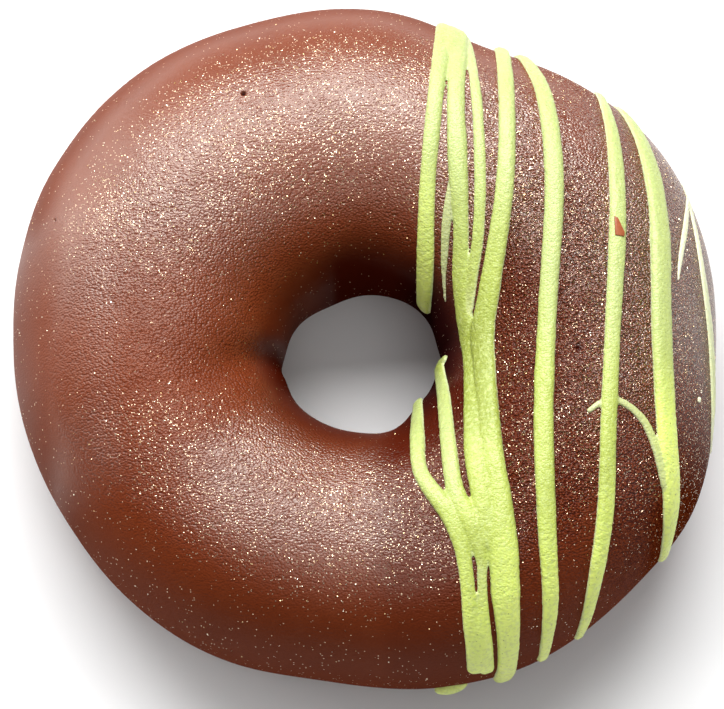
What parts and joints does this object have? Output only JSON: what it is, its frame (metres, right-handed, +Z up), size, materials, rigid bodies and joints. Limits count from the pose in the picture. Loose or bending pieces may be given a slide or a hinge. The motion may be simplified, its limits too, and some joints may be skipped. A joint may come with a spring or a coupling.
{
  "type": "ring doughnut",
  "caption": "Ring doughnut with a smooth chocolate coat and lines of pistachio icing drizzled over one side.",
  "frame": {"origin": "centre of the outline on the surface that the doughnut lies on", "axes": "+Z up through the hole, +Y towards the back, +X towards the drizzled side"},
  "size_m": [0.0918, 0.0907, 0.0337],
  "materials": {
    "chocolate_coat": "set milk chocolate, satin, with a fine gold shimmer",
    "pistachio_icing": "set icing, satin, pale yellow green",
    "gold_dust": "fine edible glitter"
  },
  "bodies": {
    "root": {"doughnut": "chocolate_coat"}
  },
  "joints": []
}
